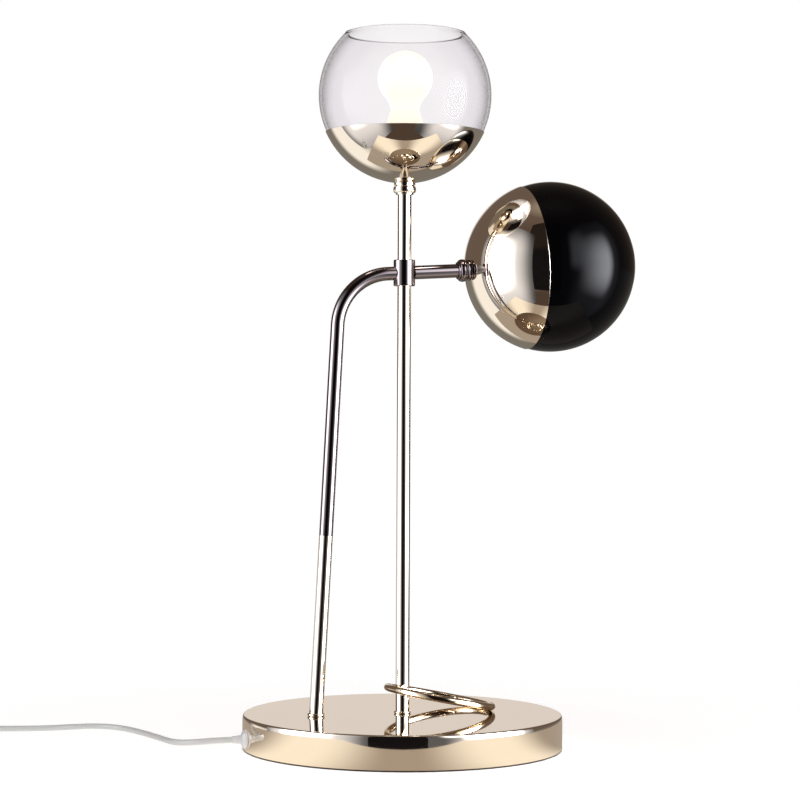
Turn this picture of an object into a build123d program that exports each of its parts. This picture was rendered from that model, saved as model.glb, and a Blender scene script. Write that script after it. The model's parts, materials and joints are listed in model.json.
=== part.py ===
from build123d import *
import math
import os

# Two-headed table lamp: a mirror-gold drum base carries a post with a clear glass globe on top, a leaning
# leg that bends over into a side arm, and a black ball shade at the arm's end.
# Origin: centre of the base's underside. +Z is up, +X runs along the arm. Sizes in mm, angles in degrees.

# Drum base
base_radius = 140.0
base_height = 30.0
cover_wall = 1.5
cover_round = 2.0
cover_lift = 1.0
cover_draft = 1.2
felt_thickness = 2.0
felt_margin = 4.0
plate_thickness = 1.5
plate_gap = 0.3
weight_thickness = 6.0
weight_margin = 20.0
boss_radius = 6.0
boss_inset = 22.0
boss_count = 3
screw_radius = 2.0
screw_head_radius = 3.5
screw_head_height = 1.4
screw_reach = 8.0

# Tubes of the frame
tube_radius = 6.0
tube_wall = 1.0
post_top_z = 484.6
hub_z = 416.0
hub_height = 23.0
hub_wall = 3.5
hub_chamfer = 0.6
arm_reach = 48.6
arm_tilt = 3.4
leg_foot_x = -78.0
leg_lean = 3.0
leg_lower_length = 157.0
bend_radius = 48.0
joiner_length = 30.0
foot_ring_width = 1.5
foot_ring_height = 4.2
foot_ring_groove = 0.6
set_screw_radius = 2.0
set_screw_key = 1.1
set_screw_key_depth = 1.8

# Threaded fixings under the frame
nipple_wall = 1.45
nipple_engage = 22.0
nut_across = 14.0
nut_height = 6.0
washer_width = 4.0
washer_thickness = 1.5
thread_proud = 1.5
stud_radius = 3.0
stud_nut_across = 10.0
stud_nut_height = 5.0
stud_plug_length = 14.0

# Decorative loop lying on the base round the post
loop_radius = 46.8
loop_wire = 3.2
loop_tilt = 11.3
loop_turn = 10.0

# Swivel collars between tubes and heads
collar_length = 10.4
collar_lip_length = 1.6
collar_lip_step = 1.8
collar_bead_length = 6.0
collar_bead_step = 4.0
collar_bead_foot_step = 2.6
collar_groove_length = 0.8
collar_groove_step = 1.9
collar_ring_step = 3.4
spigot_length = 6.0
spigot_wall = 0.85
spindle_wall = 1.1
spindle_flange = 2.0
spindle_engage = 10.0
lock_nut_across = 14.0
lock_nut_height = 4.0

# Shades and their cups
shade_radius = 75.8
glass_wall = 2.5
glass_mouth_radius = 52.5
glass_rim_round = 0.8
glass_cup_drop = 32.0
black_wall = 1.0
black_mouth_radius = 29.0
black_rim_round = 0.3
black_cup_drop = 25.5
cup_wall = 0.8

# Lampholders and bulbs
cap_radius = 7.0
cap_length = 20.0
cap_tip_radius = 3.2
cap_tip_length = 1.6
contact_radius = 3.0
contact_height = 1.4
shell_wall = 0.5
shell_drop = 2.0
shell_clear = 3.0
holder_wall = 8.6
holder_lip_wall = 4.9
holder_lip_height = 12.3
holder_foot_inset = 4.2
holder_foot_height = 4.0
holder_floor = 36.0
shade_neck_clear = 1.8
shade_ring_overlap = 5.0
shade_ring_height = 5.0
bulb_radius = 24.0
bulb_height = 51.6
bulb_neck_step = 5.2
bulb_flare = 22.0

# Mains cord, its bush in the base wall and the terminal block inside
cord_diameter = 5.2
bush_z = 12.0
bush_flange_radius = 8.2
bush_flange_length = 4.5
bush_nose_radius = 3.9
bush_nose_length = 8.0
bush_shank_radius = 5.5
bush_inner_length = 5.0
cord_sunk = 4.5
tail_straight = 14.0
block_offset = 24.0
block_length = 24.0
block_width = 20.0
block_height = 11.0
block_chamfer = 1.0
block_well_radius = 2.2
block_well_depth = 4.0
lead_clear = 0.2
lead_bend = 4.0
lead_hub_bend = 8.0
lead_run_z = 6.5

# In-line switch, put-away coil with its tie, and plug
switch_length = 50.0
switch_width = 24.0
switch_height = 17.0
switch_round = 2.0
switch_nozzle_radius = 4.6
switch_nozzle_length = 5.0
rocker_radius = 9.0
rocker_width = 9.0
rocker_depth = 3.0
rocker_crest = 7.9
rocker_angle = 8.0
rocker_pin_radius = 1.5
rocker_pin_reach = 2.4
pivot_z = 11.0
stow_lift = 0.2
coil_middle_radius = 31.2
coil_turns_in = 3
coil_turns_out = 2.5
coil_gap = 0.6
coil_offset = 60.0
coil_lead_in = 26.0
tail_level = 24.0
tail_length = 58.0
tie_thickness = 0.8
tie_width = 7.0
tie_gap = 0.4
plug_neck_length = 20.0
plug_neck_radius = 5.2
plug_neck_tip = 3.6
plug_body_length = 34.0
plug_face_width = 26.0
plug_back_width = 14.0
plug_thickness = 14.0
plug_round = 2.5
pin_radius = 2.0
pin_length = 19.0
pin_spacing = 19.0
pin_round = 1.2

# Clearances
thread_gap = 0.05
slip_gap = 0.05
seat_gap = 0.05
hole_gap = 0.15
running_gap = 0.06
swivel_gap = 0.3
shade_gap = 0.1

# Route of the free cord, from inside the bush to the switch
cord_route = [
    (-(base_radius + bush_flange_length + bush_nose_length - cord_sunk), 0, bush_z),
    (-168, 0, bush_z),
    (-186.5, 8.5, 9.6),
    (-198, 27, 7.6),
    (-201, 61, 5.9),
    (-207, 106, 4.2),
    (-216, 148, 3.0),
    (-227, 170, 2.7),
    (-244, 181, 2.7),
    (-265, 180, 2.7),
    (-291, 177, 2.7),
    (-320, 182, 2.7),
    (-345, 189.2, 2.7),
    (-366.1, 195.2, 8.7),
    (-381.5, 199.6, 8.7),
]
stow_heading = 164.0

# Sizes that follow from the values above
tube_bore = tube_radius - tube_wall
hub_radius = tube_radius + hub_wall
nipple_radius = tube_bore - thread_gap
nipple_bore = nipple_radius - nipple_wall
spindle_radius = tube_bore - thread_gap - spigot_wall
spindle_bore = spindle_radius - spindle_wall
lead_radius = spindle_bore / 2 - lead_clear
lead_offset = spindle_bore / 2
wire_hole_radius = spindle_bore + lead_clear
cover_top_inside = base_height - cover_wall
cover_inside = base_radius - cover_wall
weight_radius = cover_inside - weight_margin
weight_underside = cover_top_inside - weight_thickness
plate_top = felt_thickness + plate_thickness
plate_radius = cover_inside - plate_gap
boss_circle = weight_radius - boss_inset
boss_angles = [30 + 360 / boss_count * i for i in range(boss_count)]
cup_inner = shade_radius + shade_gap
cup_outer = cup_inner + cup_wall
collar_ring_radius = tube_radius + collar_ring_step
ring_seat = math.sqrt((cup_outer + swivel_gap) ** 2 - collar_ring_radius**2)
head_offset = ring_seat + collar_length
shell_inner = cap_radius + seat_gap
shell_outer = shell_inner + shell_wall
socket_radius = shell_outer + slip_gap
socket_depth = cap_length + cap_tip_length + contact_height + seat_gap
holder_radius = socket_radius + holder_wall
holder_height = socket_depth + holder_floor
neck_hole = holder_radius + shade_neck_clear
lock_nut_corner = lock_nut_across / math.sqrt(3)
lock_nut_s = seat_gap - math.sqrt(cup_inner**2 - lock_nut_corner**2)
holder_s = lock_nut_s + lock_nut_height
holder_top = holder_s + holder_height
cord_radius = cord_diameter / 2
switch_mid = stow_lift + switch_height / 2
switch_half = switch_length / 2 + switch_nozzle_length

BOTTOM = (Align.CENTER, Align.CENTER, Align.MIN)
arm_way = Vector(math.cos(math.radians(arm_tilt)), 0, math.sin(math.radians(arm_tilt)))
leg_way = Vector(math.sin(math.radians(leg_lean)), 0, math.cos(math.radians(leg_lean)))
hub_point = Vector(0, 0, hub_z)
leg_foot = Vector(leg_foot_x, 0, base_height)
arm_line = Plane(origin=hub_point, x_dir=(0, 1, 0), z_dir=arm_way)
leg_line = Plane(origin=leg_foot, x_dir=(0, 1, 0), z_dir=leg_way)
glass_place = Plane(origin=(0, 0, post_top_z + head_offset), x_dir=(1, 0, 0), z_dir=(0, 0, 1))
black_place = Plane(origin=hub_point + arm_way * (arm_reach + head_offset), x_dir=(0, 1, 0), z_dir=arm_way)

stow_u = Vector(math.cos(math.radians(stow_heading)), math.sin(math.radians(stow_heading)), 0)
switch_point = Vector(*cord_route[-1][:2], 0) + stow_u * switch_half
stow = Plane(origin=switch_point, x_dir=stow_u, z_dir=(0, 0, 1))


def rod(radius, length):
    return Cylinder(radius, length, align=BOTTOM)


def pipe(outer, inner, length):
    return rod(outer, length) - rod(inner, length)


def face_of(*lines):
    return make_face([edge for line in lines for edge in line.edges()])


def turned(*lines):
    """Solid turned about Z from outline pieces in (radius, height)."""
    return revolve(Plane.XZ * face_of(*lines), Axis.Z)


def closed(*points):
    return Polyline(*points, close=True)


def hexagon_nut(across, bore, height):
    return extrude(RegularPolygon(across / math.sqrt(3), 6), height) - rod(bore, height)


def corner_radii(points):
    """Arc radius at each corner of a cord's route, as large as its two runs allow."""
    radii = []
    for before, here, after in zip(points, points[1:], points[2:]):
        run_in = Vector(*here) - Vector(*before)
        run_out = Vector(*after) - Vector(*here)
        half_turn = math.radians(run_in.get_angle(run_out) / 2)
        radii.append(0.45 * min(run_in.length, run_out.length) / math.tan(half_turn))
    return radii


def swept(path, radius):
    return sweep(Plane(origin=path @ 0, z_dir=path % 0) * Circle(radius), path=path)


def cord_tube(name, points):
    radii = corner_radii(points)
    path = FilletPolyline(*points, radius=radii)
    tube = swept(path, cord_radius)
    share = tube.volume / (math.pi * cord_radius**2 * path.length)
    print(name, "length", round(path.length, 1), "volume share", round(share, 4))
    print(name, "radii", [round(r, 1) for r in radii])
    return tube


# Drum base


def base_cover():
    top = base_radius - cover_draft
    edge = top - cover_round
    shell = turned(
        Line((0, base_height), (edge, base_height)),
        RadiusArc((edge, base_height), (top, base_height - cover_round), cover_round),
        Polyline(
            (top, base_height - cover_round),
            (base_radius, cover_lift),
            (cover_inside, cover_lift),
            (cover_inside - cover_draft, cover_top_inside),
            (0, cover_top_inside),
            (0, base_height),
        ),
    )
    post_hole = rod(nipple_radius + hole_gap, base_height + 1)
    stud_hole = Pos(leg_foot_x, 0, 0) * rod(stud_radius + hole_gap, base_height + 1)
    cord_way = Pos(-base_radius - 1, 0, bush_z) * Rot(0, 90, 0)
    cord_hole = cord_way * rod(bush_shank_radius + hole_gap, base_radius / 4)
    return shell - post_hole - stud_hole - cord_hole


def boss_spots():
    return [Rot(0, 0, angle) * Pos(boss_circle, 0, 0) for angle in boss_angles]


def base_weight():
    disc = Pos(0, 0, weight_underside) * rod(weight_radius, weight_thickness)
    for spot in boss_spots():
        disc += spot * Pos(0, 0, plate_top) * rod(boss_radius, weight_underside - plate_top)
    for spot in boss_spots():
        disc -= spot * Pos(0, 0, plate_top) * rod(screw_radius + thread_gap, screw_reach + thread_gap)
    disc -= rod(nipple_radius + hole_gap, base_height)
    return disc - Pos(leg_foot_x, 0, 0) * rod(stud_radius + hole_gap, base_height)


def base_plate():
    plate = Pos(0, 0, felt_thickness) * rod(plate_radius, plate_thickness)
    for spot in boss_spots():
        plate -= spot * rod(screw_radius + hole_gap, base_height)
    return plate


def felt_pad():
    pad = rod(plate_radius - felt_margin, felt_thickness)
    for spot in boss_spots():
        pad -= spot * rod(screw_head_radius + 1, base_height)
    return pad


def plate_screws():
    head = Pos(0, 0, felt_thickness - screw_head_height) * rod(screw_head_radius, screw_head_height)
    screw = head + Pos(0, 0, felt_thickness) * rod(screw_radius, plate_thickness + screw_reach)
    return Compound([spot * screw for spot in boss_spots()])


# Frame tubes


def foot_ring():
    """Two rounded ridges one above the other."""
    outer = tube_radius + foot_ring_width
    groove = outer - foot_ring_groove
    half = foot_ring_height / 2
    return turned(
        Polyline((0, foot_ring_height), (0, 0), (groove, 0)),
        ThreePointArc((groove, 0), (outer, half / 2), (groove, half)),
        ThreePointArc((groove, half), (outer, half * 1.5), (groove, foot_ring_height)),
        Line((groove, foot_ring_height), (0, foot_ring_height)),
    )


def wire_hole():
    return arm_line * rod(wire_hole_radius, 2 * hub_radius)


def post_tube():
    tube = Pos(0, 0, base_height) * pipe(tube_radius, tube_bore, post_top_z - base_height)
    return tube - wire_hole()


def post_foot_ring():
    return Pos(0, 0, base_height) * (foot_ring() - rod(tube_radius + slip_gap, foot_ring_height))


def post_nipple():
    bottom = weight_underside - washer_thickness - nut_height - thread_proud
    return Pos(0, 0, bottom) * pipe(nipple_radius, nipple_bore, base_height + nipple_engage - bottom)


def washer(bore):
    return Pos(0, 0, weight_underside - washer_thickness) * pipe(bore + washer_width, bore, washer_thickness)


def post_nut():
    under_washer = weight_underside - washer_thickness - nut_height
    return Pos(0, 0, under_washer) * hexagon_nut(nut_across, nipple_radius + thread_gap, nut_height)


def above_base(solid):
    return split(solid, bisect_by=Plane.XY.offset(base_height), keep=Keep.TOP)


def leg_rod(radius, start, end):
    return leg_line * Pos(0, 0, start) * rod(radius, end - start)


def leg_lower_tube():
    outside = leg_rod(tube_radius, -tube_radius, leg_lower_length)
    return above_base(outside - leg_rod(tube_bore, -tube_radius, leg_lower_length))


def leg_foot_ring():
    ring = Pos(leg_foot_x, 0, base_height) * foot_ring()
    return ring - leg_rod(tube_radius + slip_gap, -tube_radius, 2 * tube_radius)


def leg_stud():
    plug = above_base(leg_rod(tube_bore - thread_gap, -tube_radius, stud_plug_length))
    bottom = weight_underside - washer_thickness - stud_nut_height - thread_proud
    stud = Pos(leg_foot_x, 0, bottom) * rod(stud_radius, base_height + stud_plug_length / 2 - bottom)
    return plug + stud


def leg_nut():
    under_washer = weight_underside - washer_thickness - stud_nut_height
    nut = hexagon_nut(stud_nut_across, stud_radius + thread_gap, stud_nut_height)
    return Pos(leg_foot_x, 0, under_washer) * nut


def bent_tube():
    lean = math.tan(math.radians(leg_lean))
    rise = math.tan(math.radians(arm_tilt))
    corner_z = (hub_z + (leg_foot_x - base_height * lean) * rise) / (1 - lean * rise)
    corner = (leg_foot_x + (corner_z - base_height) * lean, 0, corner_z)
    path = FilletPolyline(leg_foot + leg_way * leg_lower_length, corner, hub_point, radius=bend_radius)
    tube = swept(path, tube_radius) - swept(path, tube_bore)
    return tube - hub_space()


def hub_space():
    return Pos(0, 0, hub_z - hub_height) * rod(hub_radius + slip_gap, 2 * hub_height)


def leg_joiner():
    half = joiner_length / 2
    return leg_rod(tube_bore - thread_gap, leg_lower_length - half, leg_lower_length + half)


def set_screw_axis():
    return Plane(origin=hub_point, x_dir=(1, 0, 0), z_dir=(0, 1, 0))


def cross_hub():
    sleeve = Pos(0, 0, hub_z - hub_height / 2) * rod(hub_radius, hub_height)
    sleeve = chamfer(sleeve.edges().filter_by(GeomType.CIRCLE), hub_chamfer)
    sleeve -= Pos(0, 0, hub_z - hub_height) * rod(tube_radius + slip_gap, 2 * hub_height)
    return sleeve - wire_hole() - set_screw_axis() * rod(set_screw_radius + thread_gap, 2 * hub_radius)


def hub_set_screw():
    start = tube_radius + slip_gap
    length = hub_wall - 2 * slip_gap
    key = extrude(RegularPolygon(set_screw_key, 6), set_screw_key_depth)
    key = Pos(0, 0, length - set_screw_key_depth) * key
    return set_screw_axis() * Pos(0, 0, start) * (rod(set_screw_radius, length) - key)


def arm_tube():
    return arm_line * pipe(tube_radius, tube_bore, arm_reach) - hub_space()


def base_loop():
    tilt = math.radians(loop_tilt)
    centre_x = loop_radius * math.cos(tilt) - tube_radius - loop_wire - seat_gap
    centre_z = base_height + seat_gap + loop_wire + loop_radius * math.sin(tilt)
    leaning = Pos(centre_x, 0, centre_z) * Rot(0, loop_tilt, 0) * Torus(loop_radius, loop_wire)
    return Rot(0, 0, loop_turn) * leaning


# Heads, each built with its ball centre at the origin and its axis up


def ball_depth(radius, off_axis):
    return math.sqrt(radius**2 - off_axis**2)


def ball_arc(radius, low, high):
    """Arc of a ball's section between two heights along its axis."""
    ends = [math.asin(s / radius) for s in (low, (low + high) / 2, high)]
    return ThreePointArc(*[(radius * math.cos(a), radius * math.sin(a)) for a in ends])


def ball_zone(outer, inner, hole, top):
    """Part of a ball's wall from a hole at its lower pole up to a level plane."""
    low_out = -ball_depth(outer, hole)
    low_in = -ball_depth(inner, hole)
    return turned(
        ball_arc(outer, low_out, top),
        Line((ball_depth(outer, top), top), (ball_depth(inner, top), top)),
        ball_arc(inner, low_in, top),
        Line((hole, low_in), (hole, low_out)),
    )


def cup(drop):
    return ball_zone(cup_outer, cup_inner, spindle_radius + slip_gap, -drop)


def shade(wall, mouth_radius, rim_round):
    mouth = ball_depth(shade_radius, mouth_radius)
    ball = ball_zone(shade_radius, shade_radius - wall, neck_hole, mouth)
    rim = ball.edges().filter_by(GeomType.CIRCLE).group_by(Axis.Z)[-1]
    return fillet(rim, min(rim_round, 0.4 * wall))


def collar():
    foot = -head_offset
    bore = spindle_radius + running_gap
    bead_start = foot + collar_lip_length
    bead_end = bead_start + collar_bead_length
    groove_end = bead_end + collar_groove_length
    top = -ring_seat + collar_length / 2
    lip = tube_radius + collar_lip_step
    bead_foot = tube_radius + collar_bead_foot_step
    groove = tube_radius + collar_groove_step
    body = turned(
        Polyline(
            (bore, top),
            (bore, foot - spigot_length),
            (tube_bore - thread_gap, foot - spigot_length),
            (tube_bore - thread_gap, foot),
            (lip, foot),
            (lip, bead_start),
            (bead_foot, bead_start),
        ),
        ThreePointArc(
            (bead_foot, bead_start),
            (tube_radius + collar_bead_step, (bead_start + bead_end) / 2),
            (bead_foot, bead_end),
        ),
        Polyline(
            (bead_foot, bead_end),
            (groove, bead_end),
            (groove, groove_end),
            (collar_ring_radius, groove_end),
            (collar_ring_radius, top),
            (bore, top),
        ),
    )
    return body - Sphere(cup_outer + swivel_gap)


def spindle():
    flange_top = -head_offset - spigot_length - running_gap
    flange_bottom = flange_top - spindle_flange
    top = holder_s + spindle_engage
    tube = Pos(0, 0, flange_bottom) * rod(spindle_radius, top - flange_bottom)
    tube += Pos(0, 0, flange_bottom) * rod(tube_bore - swivel_gap, spindle_flange)
    return tube - Pos(0, 0, flange_bottom) * rod(spindle_bore, top - flange_bottom)


def lock_nut():
    return Pos(0, 0, lock_nut_s) * hexagon_nut(lock_nut_across, spindle_radius + thread_gap, lock_nut_height)


def lampholder():
    floor = holder_top - socket_depth
    spindle_top = holder_s + spindle_engage + seat_gap
    return turned(
        closed(
            (spindle_radius + thread_gap, holder_s),
            (holder_radius - holder_foot_inset, holder_s),
            (holder_radius, holder_s + holder_foot_height),
            (holder_radius, holder_top - holder_lip_height),
            (socket_radius + holder_lip_wall, holder_top),
            (socket_radius, holder_top),
            (socket_radius, floor),
            (spindle_bore, floor),
            (spindle_bore, spindle_top),
            (spindle_radius + thread_gap, spindle_top),
        )
    )


def screw_shell():
    floor = holder_top - socket_depth
    length = socket_depth - shell_drop - shell_clear
    return Pos(0, 0, floor + shell_clear) * pipe(shell_outer, shell_inner, length)


def centre_contact():
    return Pos(0, 0, holder_top - socket_depth) * pipe(contact_radius, spindle_bore / 2, contact_height)


def shade_ring(wall):
    outer = neck_hole + shade_ring_overlap
    seat = seat_gap - ball_depth(shade_radius - wall, outer)
    return Pos(0, 0, seat) * pipe(outer, holder_radius + slip_gap, shade_ring_height)


def bulb_cap():
    tip = holder_top - cap_length - cap_tip_length
    top = holder_top + seat_gap
    return turned(
        closed(
            (0, tip),
            (cap_tip_radius * 0.7, tip),
            (cap_tip_radius, tip + cap_tip_length),
            (cap_radius, tip + cap_tip_length + cap_tip_length),
            (cap_radius, top),
            (0, top),
        )
    )


def bulb_globe():
    """Ball that flows through a hollow curve into the neck above the holder."""
    foot = holder_top + seat_gap
    top = foot + bulb_height
    centre = top - bulb_radius
    neck = cap_radius + bulb_neck_step
    across = neck + bulb_flare
    reach = bulb_radius + bulb_flare
    drop = math.sqrt(reach**2 - across**2)
    low = centre - drop
    start = max(low, foot)
    touch = (across * bulb_radius / reach, centre - drop * bulb_radius / reach)
    middle = (start + touch[1]) / 2

    def hollow(height):
        return (across - math.sqrt(bulb_flare**2 - (height - low) ** 2), height)

    neck_line = [(neck, foot), (neck, low)] if low > foot else [hollow(foot)]
    return turned(
        Polyline((0, top), (0, foot), *neck_line),
        ThreePointArc(hollow(start), hollow(middle), touch),
        ball_cap_arc(touch, centre, top),
    )


def ball_cap_arc(touch, centre, top):
    """Arc of the bulb's ball from its neck up to the top."""
    angle = (math.atan2(touch[1] - centre, touch[0]) + math.pi / 2) / 2
    side = (bulb_radius * math.cos(angle), centre + bulb_radius * math.sin(angle))
    return ThreePointArc(touch, side, (0, top))


def head_pieces(head, wall, mouth_radius, rim_round, drop, place):
    pieces = {
        "collar": collar(),
        "spindle": spindle(),
        "cup": cup(drop),
        "lock_nut": lock_nut(),
        "lampholder": lampholder(),
        "screw_shell": screw_shell(),
        "centre_contact": centre_contact(),
        "shade_ring": shade_ring(wall),
        "shade": shade(wall, mouth_radius, rim_round),
        "bulb": bulb_globe(),
        "bulb_cap": bulb_cap(),
    }
    return {f"{head}_{name}": place * piece for name, piece in pieces.items()}


# Wiring inside the lamp


def terminal_block():
    block = Box(block_length, block_width, block_height, align=BOTTOM)
    block = chamfer(block.edges().filter_by(Axis.Z), block_chamfer)
    for spot in GridLocations(block_length / 2, block_width / 2, 2, 2):
        block -= Pos(0, 0, block_height - block_well_depth) * spot * rod(block_well_radius, block_well_depth)
    return Pos(-block_offset - block_length / 2, 0, plate_top) * block


def glass_head_lead():
    top = glass_place.origin.Z + holder_s + spindle_engage - lead_bend
    points = [(-block_offset, lead_offset, lead_run_z), (0, lead_offset, lead_run_z), (0, lead_offset, top)]
    return swept(FilletPolyline(*points, radius=lead_bend), lead_radius)


def black_head_lead():
    side = Vector(0, -lead_offset, 0)
    end = black_place.origin + arm_way * (holder_s + spindle_engage - lead_bend)
    points = [Vector(-block_offset, 0, lead_run_z), Vector(0, 0, lead_run_z), hub_point, end]
    path = FilletPolyline(*[p + side for p in points], radius=[lead_bend, lead_hub_bend])
    return swept(path, lead_radius)


def along_bush(start, length, radius):
    """Cylinder along the cord's way out, from a distance off the post."""
    return Pos(-start, 0, bush_z) * Rot(0, -90, 0) * rod(radius, length)


def cord_bush():
    wall_height = base_height - cover_lift
    lean = Pos(0, 0, cover_lift)
    outside = base_radius + slip_gap
    inside = cover_inside - slip_gap
    drum = lean * Cone(outside, outside - cover_draft, wall_height, align=BOTTOM)
    hollow = lean * Cone(inside, inside - cover_draft, wall_height, align=BOTTOM)
    flange_length = bush_flange_length + bush_inner_length
    flange = along_bush(base_radius - bush_inner_length, flange_length, bush_flange_radius)
    flange = fillet(flange.edges().group_by(Axis.X)[0], bush_flange_length / 2)
    inner = along_bush(cover_inside - bush_inner_length, bush_inner_length, bush_flange_radius)
    shank_length = bush_inner_length + cover_wall + 1
    shank = along_bush(cover_inside - bush_inner_length, shank_length, bush_shank_radius)
    nose_start = base_radius + bush_flange_length / 2
    nose_length = bush_flange_length / 2 + bush_nose_length
    nose = Cone(bush_nose_radius, cord_radius + 2 * hole_gap + 0.5, nose_length, align=BOTTOM)
    nose = Pos(-nose_start, 0, bush_z) * Rot(0, -90, 0) * nose
    body = (flange - drum) + (inner & hollow) + shank + nose
    return body - along_bush(base_radius / 2, base_radius, cord_radius + slip_gap)


def cord_tail_route():
    block_face = -block_offset - block_length
    span = tail_straight - base_radius - block_face
    shares = [(1, 0, bush_z), (0.72, 6, 11), (0.54, 13, 10), (0.31, 13, 9), (0.15, 6, 9), (0, 6, 9)]
    return [cord_route[0]] + [(block_face + share * span, y, z) for share, y, z in shares]


# Put-away end of the cord


def switch_half_shell(lower):
    half = switch_height / 2
    body = extrude(SlotOverall(switch_length, switch_width), half)
    body = fillet(body.edges().group_by(Axis.Z)[-1], switch_round)
    nozzle = Rot(0, 90, 0) * Cylinder(switch_nozzle_radius, 2 * switch_half)
    upper_half = Box(4 * switch_length, 4 * switch_width, half, align=BOTTOM)
    body += nozzle & upper_half
    body = (Rot(180, 0, 0) * body) if lower else body
    pivot = Pos(0, 0, pivot_z + stow_lift - switch_mid) * Rot(90, 0, 0)
    pocket = pivot * Cylinder(rocker_radius + swivel_gap, rocker_width + 2 * swivel_gap)
    pin_length_over = rocker_width + 2 * rocker_pin_reach + 2 * swivel_gap
    pin_hole = pivot * Cylinder(rocker_pin_radius + running_gap, pin_length_over)
    return stow * Pos(0, 0, switch_mid) * (body - pocket - pin_hole)


def switch_rocker():
    wheel = Rot(90, 0, 0) * Cylinder(rocker_radius, rocker_width)
    wide = 4 * rocker_radius
    above = Box(wide, wide, wide, align=BOTTOM)
    button = wheel & Pos(0, 0, -rocker_depth) * above
    for side in (-1, 1):
        facet = Rot(0, side * rocker_angle, 0) * above
        half = Pos(side * wide / 2, 0, 0) * Box(wide, wide, 2 * wide)
        button -= Pos(0, 0, rocker_crest) * facet & half
    button += Rot(90, 0, 0) * Cylinder(rocker_pin_radius, rocker_width + 2 * rocker_pin_reach)
    return stow * Pos(0, 0, pivot_z + stow_lift) * Rot(0, rocker_angle, 0) * button


def tangent_piece(start, way, end):
    if (end - start).get_angle(way) < 0.01:
        return Line(start, end)
    return TangentArc(start, end, tangent=way)


def biarc(start, start_way, end, end_way):
    """Two tangent arcs that join two points with a direction at each."""
    chord = end - start
    both = start_way + end_way
    bend = 2 * (1 - start_way.dot(end_way))
    along = chord.dot(both)
    if bend < 1e-9:
        reach = chord.dot(chord) / (2 * along)
    else:
        reach = (math.sqrt(along**2 + bend * chord.dot(chord)) - along) / bend
    join = (start + start_way * reach + end - end_way * reach) * 0.5
    join_way = (end - end_way * reach - start - start_way * reach).normalized()
    return [tangent_piece(start, start_way, join), tangent_piece(join, join_way, end)]


coil_step = cord_diameter + coil_gap
coil_low = tie_thickness + tie_gap + cord_radius
coil_high = coil_low + coil_step
coil_outside = coil_middle_radius + coil_step * coil_turns_in / 2
coil_inside = coil_outside - coil_step * coil_turns_in
coil_end_radius = coil_inside + coil_step * coil_turns_out
coil_start_u = switch_half + cord_diameter + coil_lead_in
coil_centre = Vector(coil_start_u - coil_outside, coil_offset, 0)


def coil_state(turn):
    """Radius, its growth per radian, height and climb per radian after a number of turns."""
    rate = coil_step / (2 * math.pi)
    if turn <= coil_turns_in:
        return coil_outside - coil_step * turn, -rate, coil_high, 0
    if turn < coil_turns_in + 0.5:
        x = 2 * (turn - coil_turns_in)
        phi = math.pi * x
        radius = coil_inside + rate * (phi**2 / math.pi - phi)
        drop = coil_low - coil_high
        height = coil_high + drop * (3 * x**2 - 2 * x**3)
        return radius, rate * (2 * x - 1), height, drop * 6 * x * (1 - x) / math.pi
    return coil_inside + coil_step * (turn - coil_turns_in - 0.5), rate, coil_low, 0


def coil_knots():
    """Points and directions along the coiled cord, a quarter turn apart, in the put-away frame."""
    way_u = Vector(1, 0, 0)
    way_v = Vector(0, 1, 0)
    knots = [
        (Vector(switch_half, 0, switch_mid), way_u),
        (Vector(switch_half + cord_diameter, 0, switch_mid), way_u),
        (Vector(coil_start_u, coil_lead_in, (switch_mid + coil_high) / 2), way_v),
    ]
    total = coil_turns_in + 0.5 + coil_turns_out
    for quarter in range(round(4 * total) + 1):
        radius, growth, height, climb = coil_state(quarter / 4)
        angle = math.pi / 2 * quarter
        out = Vector(math.cos(angle), math.sin(angle), 0)
        across = Vector(-math.sin(angle), math.cos(angle), 0)
        way = out * growth + across * radius + Vector(0, 0, climb)
        knots.append((coil_centre + out * radius + Vector(0, 0, height), way.normalized()))
    plug_mid = stow_lift + plug_thickness / 2
    end_u = coil_centre.X + coil_end_radius
    end_v = coil_offset + tail_length
    knots.append((Vector(end_u, coil_offset + tail_level, coil_low), way_v))
    knots.append((Vector(end_u, end_v - cord_diameter, plug_mid), way_v))
    knots.append((Vector(end_u, end_v, plug_mid), way_v))
    return knots


def cord_coil():
    pieces = []
    knots = coil_knots()
    for (start, start_way), (end, end_way) in zip(knots, knots[1:]):
        pieces += biarc(start, start_way, end, end_way)
    path = Wire([edge for piece in pieces for edge in piece.edges()])
    tube = swept(path, cord_radius)
    share = tube.volume / (math.pi * cord_radius**2 * path.length)
    print("cord_coil length", round(path.length, 1), "volume share", round(share, 4))
    print("cord_coil least gap", round(least_gap(pieces), 2))
    return stow * tube


def least_gap(pieces):
    """Smallest space between turns, measured on points along the cord."""
    samples = []
    run = 0.0
    for piece in pieces:
        count = max(2, round(piece.length / 2))
        samples += [(run + piece.length * i / count, piece @ (i / count)) for i in range(count)]
        run += piece.length
    apart = math.pi * coil_inside
    least = min(
        (b - a).length
        for i, (along_a, a) in enumerate(samples)
        for along_b, b in samples[i + 1 :]
        if along_b - along_a > apart
    )
    return least - cord_diameter


def cord_tie():
    near = coil_state(coil_turns_in + 0.5)[0] - cord_radius - tie_gap
    far = coil_state(0.5)[0] + cord_radius + tie_gap
    low = tie_thickness
    high = coil_high + cord_radius + tie_gap
    middle = Pos(coil_centre.X - (near + far) / 2, coil_offset, (low + high) / 2)
    loop = Box(far - near + 2 * tie_thickness, tie_width, high - low + 2 * tie_thickness)
    loop = fillet(loop.edges().filter_by(Axis.Y), 2 * tie_thickness)
    hole = Box(far - near, 2 * tie_width, high - low)
    hole = fillet(hole.edges().filter_by(Axis.Y), tie_thickness)
    return stow * middle * (loop - hole)


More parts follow.
